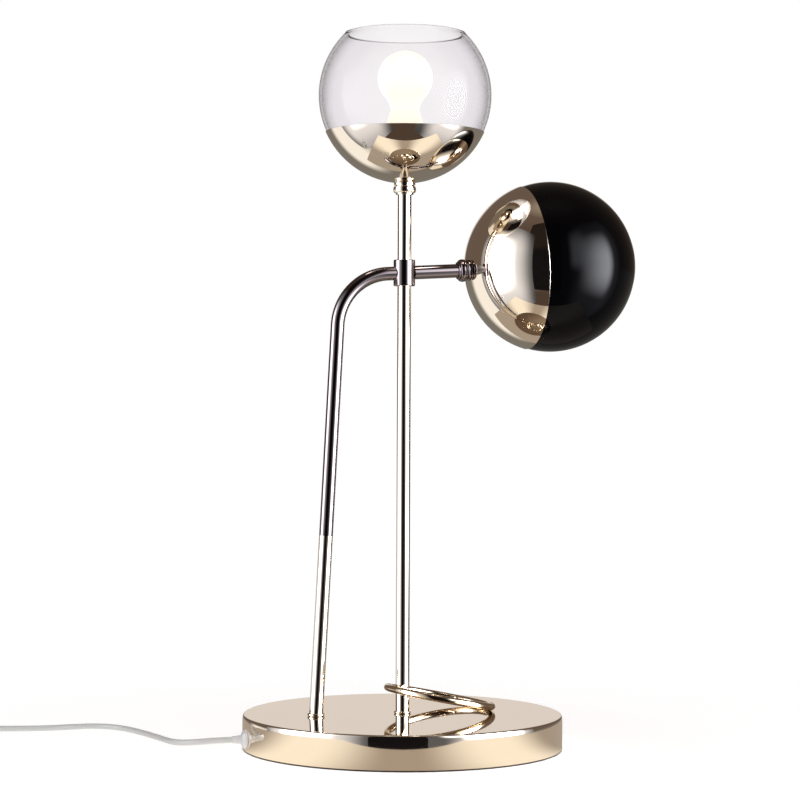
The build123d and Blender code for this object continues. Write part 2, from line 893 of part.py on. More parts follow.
def plug_place():
    end = Vector(coil_centre.X + coil_end_radius, coil_offset + tail_length, stow_lift + plug_thickness / 2)
    return stow * Plane(origin=end, x_dir=(1, 0, 0), z_dir=(0, 1, 0))


def plug_body():
    back = plug_neck_length
    face = back + plug_body_length
    neck = Cone(plug_neck_tip, plug_neck_radius, back + plug_body_length / 4, align=BOTTOM)
    outline = closed(
        (-plug_back_width / 2, back),
        (plug_back_width / 2, back),
        (plug_face_width / 2, (back + face) / 2),
        (plug_face_width / 2, face),
        (-plug_face_width / 2, face),
        (-plug_face_width / 2, (back + face) / 2),
    )
    body = extrude(Plane.XZ * face_of(outline), plug_thickness / 2, both=True)
    body = fillet(body.edges(), plug_round)
    for side in (-1, 1):
        pin_place = Pos(side * pin_spacing / 2, 0, face - pin_length / 2)
        body -= pin_place * rod(pin_radius + slip_gap, pin_length)
    return plug_place() * (body + neck)


def plug_pins():
    face = plug_neck_length + plug_body_length
    pin = rod(pin_radius, 1.5 * pin_length)
    pin = fillet(pin.edges().group_by(Axis.Z)[-1], pin_round)
    pins = [Pos(side * pin_spacing / 2, 0, face - pin_length / 2 + slip_gap) * pin for side in (-1, 1)]
    return Compound([plug_place() * p for p in pins])


nodes = {
    "base_cover": base_cover(),
    "base_weight": base_weight(),
    "base_plate": base_plate(),
    "felt_pad": felt_pad(),
    "plate_screws": plate_screws(),
    "post_tube": post_tube(),
    "post_foot_ring": post_foot_ring(),
    "post_nipple": post_nipple(),
    "post_washer": washer(nipple_radius + hole_gap),
    "post_nut": post_nut(),
    "leg_lower_tube": leg_lower_tube(),
    "leg_foot_ring": leg_foot_ring(),
    "leg_stud": leg_stud(),
    "leg_washer": Pos(leg_foot_x, 0, 0) * washer(stud_radius + hole_gap),
    "leg_nut": leg_nut(),
    "leg_joiner": leg_joiner(),
    "bent_tube": bent_tube(),
    "cross_hub": cross_hub(),
    "hub_set_screw": hub_set_screw(),
    "arm_tube": arm_tube(),
    "base_loop": base_loop(),
    "terminal_block": terminal_block(),
    "glass_head_lead": glass_head_lead(),
    "black_head_lead": black_head_lead(),
    "cord_bush": cord_bush(),
    "cord_tail": cord_tube("cord_tail", cord_tail_route()),
    "cord_free": cord_tube("cord_free", cord_route),
    "switch_lower_shell": switch_half_shell(True),
    "switch_upper_shell": switch_half_shell(False),
    "switch_rocker": switch_rocker(),
    "cord_coil": cord_coil(),
    "cord_tie": cord_tie(),
    "plug_body": plug_body(),
    "plug_pins": plug_pins(),
}
nodes |= head_pieces("glass", glass_wall, glass_mouth_radius, glass_rim_round, glass_cup_drop, glass_place)
nodes |= head_pieces("black", black_wall, black_mouth_radius, black_rim_round, black_cup_drop, black_place)

os.makedirs("parts", exist_ok=True)
for name, solid in nodes.items():
    export_step(solid, f"parts/{name}.step")
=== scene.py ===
import json
import math

import bpy
from mathutils import Matrix, Vector


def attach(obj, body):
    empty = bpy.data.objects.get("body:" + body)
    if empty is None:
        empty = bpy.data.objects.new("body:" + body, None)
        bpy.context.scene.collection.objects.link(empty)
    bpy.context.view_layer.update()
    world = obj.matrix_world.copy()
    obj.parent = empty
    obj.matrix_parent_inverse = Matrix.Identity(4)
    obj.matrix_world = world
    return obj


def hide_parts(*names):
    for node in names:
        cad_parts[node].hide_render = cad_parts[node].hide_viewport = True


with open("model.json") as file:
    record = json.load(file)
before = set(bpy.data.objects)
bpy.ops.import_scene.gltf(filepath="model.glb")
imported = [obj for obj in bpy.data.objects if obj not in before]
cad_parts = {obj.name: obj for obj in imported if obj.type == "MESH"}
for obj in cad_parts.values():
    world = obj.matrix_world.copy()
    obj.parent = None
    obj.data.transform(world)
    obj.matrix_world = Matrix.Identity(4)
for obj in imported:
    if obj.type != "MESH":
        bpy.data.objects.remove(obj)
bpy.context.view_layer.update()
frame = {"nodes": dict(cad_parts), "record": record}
nodes = frame["nodes"]

# Sizes of the lamp in metres, as in the part's source
MM = 0.001
BASE_RADIUS = 140 * MM
BASE_HEIGHT = 30 * MM
COVER_WALL = 1.5 * MM
COVER_DRAFT = 1.2 * MM
COVER_ROUND = 2 * MM
COVER_LIFT = 1 * MM
TUBE_RADIUS = 6 * MM
TUBE_BORE = 5 * MM
POST_TOP = 484.6 * MM
HUB_Z = 416 * MM
HUB_RADIUS = 9.5 * MM
HUB_HEIGHT = 23 * MM
ARM_REACH = 48.6 * MM
ARM_TILT = math.radians(3.4)
LEG_FOOT_X = -78 * MM
LEG_LEAN = math.radians(3)
LEG_LOWER = 157 * MM
BEND_RADIUS = 48 * MM
LOOP_RADIUS = 46.8 * MM
LOOP_WIRE = 3.2 * MM
LOOP_TILT = math.radians(11.3)
LOOP_TURN = math.radians(10)
SHADE_RADIUS = 75.8 * MM
GLASS_WALL = 2.5 * MM
GLASS_MOUTH = 52.5 * MM
GLASS_CUP_DROP = 32 * MM
BLACK_WALL = 1 * MM
BLACK_MOUTH = 29 * MM
BLACK_CUP_DROP = 25.5 * MM
CUP_INNER = 75.9 * MM
CUP_OUTER = 76.7 * MM
COLLAR_LENGTH = 10.4 * MM
COLLAR_RING = 9.4 * MM
SWIVEL_GAP = 0.3 * MM
SPINDLE_RADIUS = 4.1 * MM
HOLDER_RADIUS = 16.2 * MM
SOCKET_RADIUS = 7.6 * MM
HOLDER_TOP = -12.368 * MM
HOLDER_FOOT = -71.418 * MM
NECK_HOLE = 18 * MM
BULB_RADIUS = 24 * MM
BULB_HEIGHT = 51.6 * MM
BULB_NECK = 12.2 * MM
BULB_FLARE = 22 * MM
BUSH_Z = 12 * MM
CORD_DIAMETER = 5.2 * MM

# Clearances
FIT_GAP = 0.05 * MM
SLIDE_GAP = 0.06 * MM
SPINDLE_HOLE = SPINDLE_RADIUS + 0.1 * MM

# Places and directions that follow from the sizes
CUP_SEAT = CUP_OUTER + SWIVEL_GAP
RING_SEAT = math.sqrt(CUP_SEAT**2 - COLLAR_RING**2)
HEAD_OFFSET = RING_SEAT + COLLAR_LENGTH
TUBE_START = HUB_RADIUS * 0.9
ARM_WAY = Vector((math.cos(ARM_TILT), 0, math.sin(ARM_TILT)))
LEG_WAY = Vector((math.sin(LEG_LEAN), 0, math.cos(LEG_LEAN)))
HUB_POINT = Vector((0, 0, HUB_Z))
LEG_FOOT = Vector((LEG_FOOT_X, 0, BASE_HEIGHT))
IN_PLACE = Matrix.Identity(4)
GLASS_PLACE = Matrix.Translation((0, 0, POST_TOP + HEAD_OFFSET))
ALONG_ARM = Matrix.Rotation(math.pi / 2 - ARM_TILT, 4, "Y")
BLACK_PLACE = Matrix.Translation(HUB_POINT + ARM_WAY * (ARM_REACH + HEAD_OFFSET)) @ ALONG_ARM
ALONG_LEG = Matrix.Rotation(LEG_LEAN, 4, "Y")


# Camera at the photograph's place; the studio is turned with it

STUDIO_TURN = math.radians(16)
CAMERA_ROLL = math.radians(-0.25)
CAMERA_DISTANCE = 2.064
CAMERA_ASIDE = -0.0033
CAMERA_HEIGHT = 0.3046
SENSOR_WIDTH = 36
LENS = 105.9


def place_camera():
    ahead = Vector((math.sin(STUDIO_TURN), math.cos(STUDIO_TURN), 0))
    right = Vector((math.cos(STUDIO_TURN), -math.sin(STUDIO_TURN), 0))
    up = Vector((0, 0, 1))
    data = bpy.data.cameras.new("camera")
    data.sensor_fit = "HORIZONTAL"
    data.sensor_width = SENSOR_WIDTH
    data.lens = LENS
    camera = bpy.data.objects.new("camera", data)
    bpy.context.collection.objects.link(camera)
    camera.location = ahead * -CAMERA_DISTANCE + right * CAMERA_ASIDE + up * CAMERA_HEIGHT
    camera.rotation_euler = (math.pi / 2, CAMERA_ROLL, -STUDIO_TURN)
    bpy.context.scene.camera = camera


# Shader values

MIX_SHARE, MIX_FIRST, MIX_SECOND = 0, 6, 7
MIX_COLOUR = 2
WHITE = (1, 1, 1, 1)


class Shade:
    """A shader value: arithmetic on it adds Math nodes, and node() adds any other node."""

    def __init__(self, tree, socket=None):
        self.tree = tree
        self.socket = socket

    def node(self, kind, inputs=None, output=0, stops=None, **settings):
        made = self.tree.nodes.new(kind)
        for name, value in settings.items():
            setattr(made, name, value)
        for place, (at, colour) in enumerate(stops or []):
            if place > 1:
                made.color_ramp.elements.new(at)
            made.color_ramp.elements[place].position = at
            made.color_ramp.elements[place].color = colour
        for name, value in (inputs or {}).items():
            if isinstance(value, Shade):
                self.tree.links.new(value.socket, made.inputs[name])
            else:
                made.inputs[name].default_value = value
        return Shade(self.tree, made.outputs[output] if made.outputs else None)

    def maths(self, operation, *values):
        return self.node("ShaderNodeMath", dict(enumerate(values)), operation=operation)

    def __add__(self, other):
        return self.maths("ADD", self, other)

    __radd__ = __add__

    def __mul__(self, other):
        return self.maths("MULTIPLY", self, other)

    __rmul__ = __mul__

    def __sub__(self, other):
        return self.maths("SUBTRACT", self, other)

    def __rsub__(self, other):
        return self.maths("SUBTRACT", other, self)

    def __truediv__(self, other):
        return self.maths("DIVIDE", self, other)

    def __abs__(self):
        return self.maths("ABSOLUTE", self)

    def __gt__(self, other):
        return self.maths("GREATER_THAN", self, other)

    def __lt__(self, other):
        return self.maths("LESS_THAN", self, other)

    def axis(self, letter):
        """One component of a vector."""
        return self.node("ShaderNodeSeparateXYZ", {"Vector": self}, output=letter)

    def eased(self, start, end):
        """Smooth step: 0 on the start's side, 1 on the end's."""
        inputs = {"Value": self, "From Min": start, "From Max": end}
        return self.node("ShaderNodeMapRange", inputs, interpolation_type="SMOOTHSTEP")

    def blend(self, *tones):
        """Colour from the first tone, where this value is 0, to the second, where it is 1."""
        first, second = (tone if isinstance(tone, Shade) else (*tone, 1) for tone in tones)
        inputs = {MIX_SHARE: self, MIX_FIRST: first, MIX_SECOND: second}
        return self.node("ShaderNodeMix", inputs, output=MIX_COLOUR, data_type="RGBA")


def new_material(name):
    material = bpy.data.materials.new(name)
    material.use_nodes = True
    material.node_tree.nodes.clear()
    return material, Shade(material.node_tree)


def show(shade, surface):
    shade.node("ShaderNodeOutputMaterial", {"Surface": surface})


def own_place(shade):
    return shade.node("ShaderNodeTexCoord", output="Object")


def grain(shade, scale):
    """Soft noise on the piece's own coordinates, about 0 to 1."""
    inputs = {"Vector": own_place(shade), "Scale": scale, "Detail": 3.0}
    return shade.node("ShaderNodeTexNoise", inputs)


# Finishes of the pieces

CLOUDS_PER_GRAIN = 0.09
BUMP_DEPTH = 0.2 * MM


def finish(name, light, deep, roughness, spread, bump, grain_size, **sockets):
    """A surface with slightly mottled colour, uneven gloss and a fine bump."""
    material, shade = new_material(name)
    mottle = grain(shade, CLOUDS_PER_GRAIN / grain_size)
    fine = grain(shade, 1 / grain_size)
    bumps = {"Height": fine, "Strength": bump, "Distance": BUMP_DEPTH}
    inputs = {
        "Base Color": mottle.blend(light, deep),
        "Roughness": roughness + mottle * spread,
        "Normal": shade.node("ShaderNodeBump", bumps),
    }
    inputs |= sockets
    show(shade, shade.node("ShaderNodeBsdfPrincipled", inputs))
    return material


def clear_glass():
    """Clear blown glass, greyer where the wall is seen edge on: painted shade."""
    face_on, slanting, painted_edge_shade = (0.95, 0.935, 0.945), (0.885, 0.865, 0.88), (0.15, 0.14, 0.15)
    material, shade = new_material("clear_glass")
    facing = shade.node("ShaderNodeLayerWeight", {"Blend": 0.5}, output="Facing")
    # Greyer as the wall slants and darkest edge on: painted shade
    tint = facing.eased(0.05, 0.4).blend(face_on, slanting)
    inputs = {
        "Base Color": facing.eased(0.42, 1.0).blend(tint, painted_edge_shade),
        "Roughness": grain(shade, 40) * 0.006,
        "IOR": 1.16,
        "Transmission Weight": 1.0,
    }
    show(shade, shade.node("ShaderNodeBsdfPrincipled", inputs))
    return material


def holder_painted_glow():
    """White moulded holder with a painted glow in place of the bulb's light on it."""
    material, shade = new_material("holder_painted_glow")
    cloud = grain(shade, 150)
    inputs = {
        "Base Color": cloud.blend((0.84, 0.82, 0.75), (0.8, 0.77, 0.7)),
        "Roughness": 0.3 + cloud * 0.1,
        # Painted glow: emission in place of the bulb's light falling on the holder
        "Emission Color": cloud.blend((1.0, 0.86, 0.6), (1.0, 0.82, 0.54)),
        "Emission Strength": 0.55,
    }
    show(shade, shade.node("ShaderNodeBsdfPrincipled", inputs))
    return material


def lit_opal():
    """Opal glass of a bulb that is switched on."""
    material, shade = new_material("lit_opal")
    depth = grain(shade, 60)
    inputs = {
        "Base Color": (0.45, 0.43, 0.38, 1),
        "Roughness": 0.3 + depth * 0.1,
        "Emission Color": depth.blend((1.0, 0.955, 0.79), (1.0, 0.93, 0.74)),
        "Emission Strength": 0.95,
    }
    show(shade, shade.node("ShaderNodeBsdfPrincipled", inputs))
    return material


# Slot: material, light and deep tone, roughness and its spread, bump, size of the grain in metres
METALS = {
    "gold": ("rose_gold", (0.91, 0.82, 0.70), (0.895, 0.80, 0.68), 0.02, 0.03, 0.01, 0.004),
    "amber_gold": ("amber_gold", (0.90, 0.75, 0.56), (0.88, 0.73, 0.54), 0.02, 0.03, 0.01, 0.004),
    "gunmetal": ("black_nickel", (0.24, 0.205, 0.208), (0.22, 0.19, 0.192), 0.05, 0.03, 0.01, 0.004),
    "bulb_cap": ("cap_metal", (0.78, 0.78, 0.79), (0.7, 0.7, 0.71), 0.22, 0.15, 0.1, 0.001),
    "zinc_steel": ("zinc", (0.6, 0.6, 0.6), (0.5, 0.51, 0.52), 0.3, 0.2, 0.1, 0.001),
    "contact_brass": ("contact_brass", (0.8, 0.62, 0.3), (0.7, 0.52, 0.25), 0.25, 0.15, 0.05, 0.001),
    "pin_nickel": ("pin_nickel", (0.76, 0.74, 0.7), (0.7, 0.68, 0.64), 0.16, 0.1, 0.03, 0.001),
}
PLAIN = {
    "white_plastic": ("white_plastic", (0.78, 0.78, 0.79), (0.74, 0.74, 0.75), 0.28, 0.1, 0.05, 0.001),
    "cord": ("white_flex", (0.7, 0.71, 0.69), (0.65, 0.66, 0.64), 0.36, 0.12, 0.08, 0.001),
    "tie": ("twist_tie", (0.02, 0.02, 0.02), (0.03, 0.03, 0.03), 0.45, 0.15, 0.15, 0.001),
    "wire": ("lead_sheath", (0.6, 0.6, 0.62), (0.55, 0.55, 0.57), 0.4, 0.1, 0.05, 0.001),
    "terminal": ("terminal_plastic", (0.8, 0.79, 0.74), (0.76, 0.75, 0.7), 0.4, 0.1, 0.05, 0.001),
    "weight": ("cast_weight", (0.05, 0.05, 0.05), (0.1, 0.09, 0.08), 0.55, 0.25, 0.5, 0.002),
    "plate": ("plate_paint", (0.03, 0.03, 0.03), (0.04, 0.04, 0.04), 0.4, 0.15, 0.15, 0.001),
    "felt": ("felt", (0.03, 0.03, 0.033), (0.06, 0.06, 0.062), 0.9, 0.1, 1.0, 0.0006),
}
LACQUER = ("black_lacquer", (0.001, 0.001, 0.0015), (0.0015, 0.0015, 0.002), 0.05, 0.04, 0.02, 0.003)
FINISHES = {slot: finish(*look, Metallic=1.0) for slot, look in METALS.items()}
FINISHES |= {slot: finish(*look) for slot, look in PLAIN.items()}
FINISHES |= {
    "black_gloss": finish(*LACQUER, **{"Specular IOR Level": 0.1}),
    "clear_glass": clear_glass(),
    "opal_bulb": lit_opal(),
    # painted glow on the holder, for the bulb's light
    "holder_painted_glow": holder_painted_glow(),
}
SLOT_OF = {entry["node"]: entry["material_slot"] for entry in frame["record"]["subparts"]}


def dress_nodes():
    for name, node in nodes.items():
        node.data.materials.clear()
        node.data.materials.append(FINISHES[SLOT_OF[name]])


# Free cord: route to the switch, then the tied coil and the plug

CORD_ROUTE = [
    (-0.148, 0, 0.012),
    (-0.168, 0, 0.012),
    (-0.1865, 0.0085, 0.0096),
    (-0.198, 0.027, 0.0076),
    (-0.201, 0.061, 0.0059),
    (-0.207, 0.106, 0.0042),
    (-0.216, 0.148, 0.003),
    (-0.227, 0.170, 0.0027),
    (-0.244, 0.181, 0.0027),
    (-0.265, 0.180, 0.0027),
    (-0.291, 0.177, 0.0027),
    (-0.320, 0.182, 0.0027),
    (-0.345, 0.1892, 0.0027),
    (-0.3661, 0.1952, 0.0087),
    (-0.3815, 0.1996, 0.0087),
]
STOW_HEADING = math.radians(164)
SWITCH_HALF = 30 * MM
SWITCH_MID = 8.7 * MM
COIL_STEP = 5.8 * MM
COIL_LOW = 3.8 * MM
COIL_HIGH = COIL_LOW + COIL_STEP
COIL_OUTSIDE = 31.2 * MM + 1.5 * COIL_STEP
COIL_INSIDE = COIL_OUTSIDE - 3 * COIL_STEP
COIL_TURNS_IN = 3
COIL_TURNS_OUT = 2.5
COIL_LEAD_IN = 26 * MM
COIL_OFFSET = 60 * MM
TAIL_LEVEL = 24 * MM
TAIL_LENGTH = 58 * MM
PLUG_MID = 7.2 * MM
POINTS_PER_TURN = 24
STOW = Matrix.Translation((*CORD_ROUTE[-1][:2], 0)) @ Matrix.Rotation(STOW_HEADING, 4, "Z")
STOW = STOW @ Matrix.Translation((SWITCH_HALF, 0, 0))


def coil_place(turn):
    """Radius and height of the coiled cord after a number of turns."""
    rate = COIL_STEP / (2 * math.pi)
    if turn <= COIL_TURNS_IN:
        return COIL_OUTSIDE - COIL_STEP * turn, COIL_HIGH
    if turn < COIL_TURNS_IN + 0.5:
        share = 2 * (turn - COIL_TURNS_IN)
        angle = math.pi * share
        fall = 3 * share**2 - 2 * share**3
        return COIL_INSIDE + rate * (angle**2 / math.pi - angle), COIL_HIGH - COIL_STEP * fall
    return COIL_INSIDE + COIL_STEP * (turn - COIL_TURNS_IN - 0.5), COIL_LOW


def coil_points():
    """Control points from the switch through the coil, inwards and out again, to the plug."""
    start_u = SWITCH_HALF + CORD_DIAMETER + COIL_LEAD_IN
    centre_u = start_u - COIL_OUTSIDE
    points = [
        (SWITCH_HALF, 0, SWITCH_MID),
        (SWITCH_HALF + 8 * MM, 0, SWITCH_MID),
        (SWITCH_HALF + 18 * MM, 1.5 * MM, SWITCH_MID),
        (start_u - 4.5 * MM, 11 * MM, SWITCH_MID + 0.2 * MM),
        (start_u, 24 * MM, SWITCH_MID + 0.5 * MM),
        (start_u + 0.3 * MM, 40 * MM, COIL_HIGH),
    ]
    turns = COIL_TURNS_IN + 0.5 + COIL_TURNS_OUT
    # The curve runs inside its control points, so these stand a little further out
    keep = 0.75 + 0.25 * math.cos(2 * math.pi / POINTS_PER_TURN)
    for count in range(round(POINTS_PER_TURN * turns) + 1):
        radius, height = coil_place(count / POINTS_PER_TURN)
        angle = 2 * math.pi * count / POINTS_PER_TURN
        out = radius / keep
        along = centre_u + out * math.cos(angle)
        points.append((along, COIL_OFFSET + out * math.sin(angle), height))
    end_u = centre_u + coil_place(turns)[0]
    points += [
        (end_u, COIL_OFFSET + 12 * MM, COIL_LOW),
        (end_u, COIL_OFFSET + TAIL_LEVEL, COIL_LOW),
        (end_u, COIL_OFFSET + 36 * MM, 4.6 * MM),
        (end_u, COIL_OFFSET + 47 * MM, PLUG_MID),
        (end_u, COIL_OFFSET + TAIL_LENGTH, PLUG_MID),
    ]
    return [STOW @ Vector(point) for point in points]


def flex(name, points):
    data = bpy.data.curves.new(name, "CURVE")
    data.dimensions = "3D"
    line = data.splines.new("NURBS")
    line.points.add(len(points) - 1)
    for point, place in zip(line.points, points):
        point.co = (*place, 1)
    line.order_u = 3
    line.use_endpoint_u = True
    data.resolution_u = 10
    data.bevel_depth = CORD_DIAMETER / 2
    data.bevel_resolution = 7
    data.use_fill_caps = True
    data.materials.append(FINISHES["cord"])
    piece = bpy.data.objects.new(name, data)
    bpy.context.collection.objects.link(piece)
    return piece


def lay_cords():
    lead = flex("mains_cord", CORD_ROUTE)
    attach(lead, "frame")
    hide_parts("cord_free")
    points = coil_points()
    coil = flex("coiled_cord", points)
    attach(coil, "frame")
    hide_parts("cord_coil")
    ends = [twist_tie(), nodes["plug_body"], nodes["plug_pins"]]


# Hand modelling

ROUND_SIDES = 96
TUBE_SIDES = 64
BALL_SIDES = 160
BASE_SIDES = 256
FELT_SIDES = 192
WIRE_SIDES = 40
BEND_STEPS = 48
LOOP_STEPS = 160
BALL_STEPS = 64
SMOOTH_ANGLE = math.radians(35)
SAME_PLACE = 1e-6
SAME_SIZE = 1e-9


def nothing_selected():
    if bpy.context.object and bpy.context.object.mode != "OBJECT":
        bpy.ops.object.mode_set(mode="OBJECT")
    bpy.ops.object.select_all(action="DESELECT")


def pick(piece, kind, wanted):
    """Selects, in edit mode, the wanted faces or edges of a piece."""
    bpy.ops.mesh.select_mode(type={"polygons": "FACE", "edges": "EDGE"}[kind])
    bpy.ops.mesh.select_all(action="DESELECT")
    bpy.ops.object.mode_set(mode="OBJECT")
    for element in getattr(piece.data, kind):
        element.select = wanted(element)
    bpy.ops.object.mode_set(mode="EDIT")


def apply_modifier(piece, kind, **settings):
    bpy.context.view_layer.objects.active = piece
    modifier = piece.modifiers.new(kind.lower(), kind)
    for name, value in settings.items():
        setattr(modifier, name, value)
    bpy.ops.object.modifier_apply(modifier=modifier.name)


def begin_ring(name, radius, place, sides, turn=(0, 0, 0)):
    """New piece that starts as a ring of edges, all selected in edit mode."""
    nothing_selected()
    bpy.ops.mesh.primitive_circle_add(vertices=sides, radius=radius, location=place, rotation=turn)
    piece = bpy.context.object
    piece.name = name
    bpy.ops.object.transform_apply(location=True, rotation=True, scale=True)
    bpy.ops.object.mode_set(mode="EDIT")
    bpy.ops.mesh.select_mode(type="EDGE")
    bpy.ops.mesh.select_all(action="SELECT")
    return piece


def draw_out(step):
    bpy.ops.mesh.extrude_region_move(TRANSFORM_OT_translate={"value": step})


def raise_rings(profile):
    """Extrudes the selected ring through (radius, height) steps, scaling it at each."""
    for (radius, height), (next_radius, next_height) in zip(profile, profile[1:]):
        draw_out((0, 0, next_height - height))
        grow = next_radius / radius
        if abs(grow - 1) > SAME_SIZE:
            bpy.ops.transform.resize(value=(grow, grow, 1), center_override=(0, 0, next_height))


def end_piece(piece):
    bpy.ops.mesh.select_all(action="SELECT")
    bpy.ops.mesh.remove_doubles(threshold=SAME_PLACE)
    bpy.ops.mesh.normals_make_consistent(inside=False)
    bpy.ops.object.mode_set(mode="OBJECT")
    bpy.ops.object.shade_smooth_by_angle(angle=SMOOTH_ANGLE)
    return piece


def turned(name, profile, sides=ROUND_SIDES, closed=False, pole=False):
    """Round piece about Z. A closed profile returns to its first ring; a pole closes the last."""
    radius, height = profile[0]
    piece = begin_ring(name, radius, (0, 0, height), sides)
    raise_rings(profile + profile[:1] if closed else profile)
    if pole:
        bpy.ops.mesh.merge(type="CENTER")
    return end_piece(piece)


def arc(centre, radius, start, end, steps):
    """(radius, height) points on an arc, angles in degrees from the outward direction."""
    angles = [math.radians(start + (end - start) * i / steps) for i in range(steps + 1)]
    return [(centre[0] + radius * math.cos(a), centre[1] + radius * math.sin(a)) for a in angles]


def ball_angle(radius, off_axis):
    """Angle in degrees, below level, at which a ball is so far off its axis."""
    return -math.degrees(math.acos(off_axis / radius))


def set_down(piece, place, body, slot, stands_for, look=None):
    """Puts a piece in its place, on its body and in its finish, instead of a CAD node."""
    nothing_selected()
    piece.select_set(True)
    bpy.context.view_layer.objects.active = piece
    piece.matrix_world = place
    bpy.ops.object.transform_apply(location=True, rotation=True, scale=True)
    piece.data.materials.append(FINISHES[look or slot])
    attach(piece, body)
    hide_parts(stands_for)


def drum_base():
    """Drum whose upright wall draws in near its rounded edge."""
    draw_in = COVER_DRAFT / 4
    upright = 25 * MM
    turn_in = 3 * MM
    turn_level = 2.2 * MM
    soft = 0.3 * MM
    edge = BASE_RADIUS - draw_in - COVER_ROUND
    inside = BASE_RADIUS - COVER_WALL
    shoulder = BASE_HEIGHT - COVER_ROUND
    lean = math.degrees(math.atan2(2 * draw_in, shoulder - upright))
    profile = [(inside - turn_in, turn_level), (inside, turn_level), (inside, COVER_LIFT)]
    profile += [(BASE_RADIUS - soft, COVER_LIFT), (BASE_RADIUS, COVER_LIFT + soft)]
    for share in (0, 0.2, 0.4, 0.6, 0.8):
        profile.append((BASE_RADIUS - draw_in * share**2, upright + (shoulder - upright) * share))
    profile += arc((edge, shoulder), COVER_ROUND, lean, 90, 8)
    profile += [(edge - soft, BASE_HEIGHT), (edge - 1 * MM, BASE_HEIGHT)]
    profile += [(edge / 2, BASE_HEIGHT), (6 * MM, BASE_HEIGHT)]
    drum = turned("drum_base", profile, sides=BASE_SIDES, pole=True)
    set_down(drum, IN_PLACE, "frame", "gold", "base_cover")


def foot_bead(name, height):
    """Rounded ridge round the foot of a tube."""
    bore = TUBE_RADIUS + SLIDE_GAP
    swell = height / 2
    outer = TUBE_RADIUS + 1.5 * MM
    profile = [(bore, FIT_GAP)]
    profile += arc((outer - swell, swell + FIT_GAP), swell, -80, 80, 14)
    profile += [(bore, height + FIT_GAP)]
    return turned(name, profile, sides=TUBE_SIDES, closed=True)


def round_tube(name, length):
    """Open-ended tube from the origin up Z with softened lips."""
    lip = 0.25 * MM
    profile = [(TUBE_BORE, lip), (TUBE_BORE + lip, 0), (TUBE_RADIUS - lip, 0), (TUBE_RADIUS, lip)]
    profile += [(TUBE_RADIUS, length - lip), (TUBE_RADIUS - lip, length)]
    profile += [(TUBE_BORE + lip, length), (TUBE_BORE, length - lip)]
    return turned(name, profile, sides=TUBE_SIDES, closed=True)


def upright_post():
    foot = Matrix.Translation((0, 0, BASE_HEIGHT))
    post = round_tube("upright_post", POST_TOP - BASE_HEIGHT)
    set_down(post, foot, "frame", "gold", "post_tube")
    bead = foot_bead("post_foot_bead", 2.1 * MM)
    set_down(bead, foot, "frame", "gold", "post_foot_ring")


def lower_leg():
    foot = Matrix.Translation(LEG_FOOT)
    leg = round_tube("lower_leg", LEG_LOWER)
    set_down(leg, foot @ ALONG_LEG, "frame", "gold", "leg_lower_tube")
    bead = foot_bead("leg_foot_bead", 2.7 * MM)
    set_down(bead, foot, "frame", "gold", "leg_foot_ring")


def bent_leg():
    """Upper leg: straight run, bend spun about its centre, then the run into the hub."""
    bend = math.pi / 2 - LEG_LEAN - ARM_TILT
    lean = math.tan(LEG_LEAN)
    rise = math.tan(ARM_TILT)
    corner_z = (HUB_Z + (LEG_FOOT_X - BASE_HEIGHT * lean) * rise) / (1 - lean * rise)
    corner = Vector((LEG_FOOT_X + (corner_z - BASE_HEIGHT) * lean, 0, corner_z))
    start = LEG_FOOT + LEG_WAY * LEG_LOWER
    cut = BEND_RADIUS * math.tan(bend / 2)
    straight = (corner - start).length - cut
    after = (HUB_POINT - corner).length - cut - TUBE_START
    inward = Vector((math.cos(LEG_LEAN), 0, -math.sin(LEG_LEAN)))
    centre = start + LEG_WAY * straight + inward * BEND_RADIUS
    leg = begin_ring("bent_leg", TUBE_RADIUS, start, TUBE_SIDES, turn=(0, LEG_LEAN, 0))
    draw_out(LEG_WAY * straight)
    bpy.ops.mesh.spin(steps=BEND_STEPS, angle=-bend, center=centre, axis=(0, 1, 0))
    draw_out(ARM_WAY * after)
    end_piece(leg)
    set_down(leg, IN_PLACE, "frame", "gunmetal", "bent_tube")


def side_arm():
    arm = round_tube("side_arm", ARM_REACH - TUBE_START)
    place = Matrix.Translation(HUB_POINT + ARM_WAY * TUBE_START) @ ALONG_ARM
    set_down(arm, place, "frame", "gunmetal", "arm_tube")


def cross_hub():
    half = HUB_HEIGHT / 2
    soft = 0.8 * MM
    bore = TUBE_RADIUS + FIT_GAP
    profile = [(bore, -half), (HUB_RADIUS - soft, -half)]
    profile += arc((HUB_RADIUS - soft, -half + soft), soft, -90, 0, 5)[1:]
    profile += [(HUB_RADIUS, -half + 2 * soft), (HUB_RADIUS, half - 2 * soft)]
    profile += arc((HUB_RADIUS - soft, half - soft), soft, 0, 90, 5)
    profile += [(bore, half)]
    hub = turned("clamp_hub", profile, closed=True)
    set_down(hub, Matrix.Translation(HUB_POINT), "frame", "gold", "cross_hub", look="gunmetal")


def wire_loop():
    """Ring of wire, spun about its centre, that leans on the base round the post's foot."""
    upright = (math.pi / 2, 0, 0)
    loop = begin_ring("wire_loop", LOOP_WIRE, (LOOP_RADIUS, 0, 0), WIRE_SIDES, turn=upright)
    bpy.ops.mesh.spin(steps=LOOP_STEPS, angle=2 * math.pi, center=(0, 0, 0), axis=(0, 0, 1))
    end_piece(loop)
    centre_x = LOOP_RADIUS * math.cos(LOOP_TILT) - TUBE_RADIUS - LOOP_WIRE - FIT_GAP
    centre_z = BASE_HEIGHT + FIT_GAP + LOOP_WIRE + LOOP_RADIUS * math.sin(LOOP_TILT)
    place = Matrix.Translation((centre_x, 0, centre_z)) @ Matrix.Rotation(LOOP_TILT, 4, "Y")
    place = Matrix.Rotation(LOOP_TURN, 4, "Z") @ place
    set_down(loop, place, "frame", "gold", "base_loop", look="amber_gold")


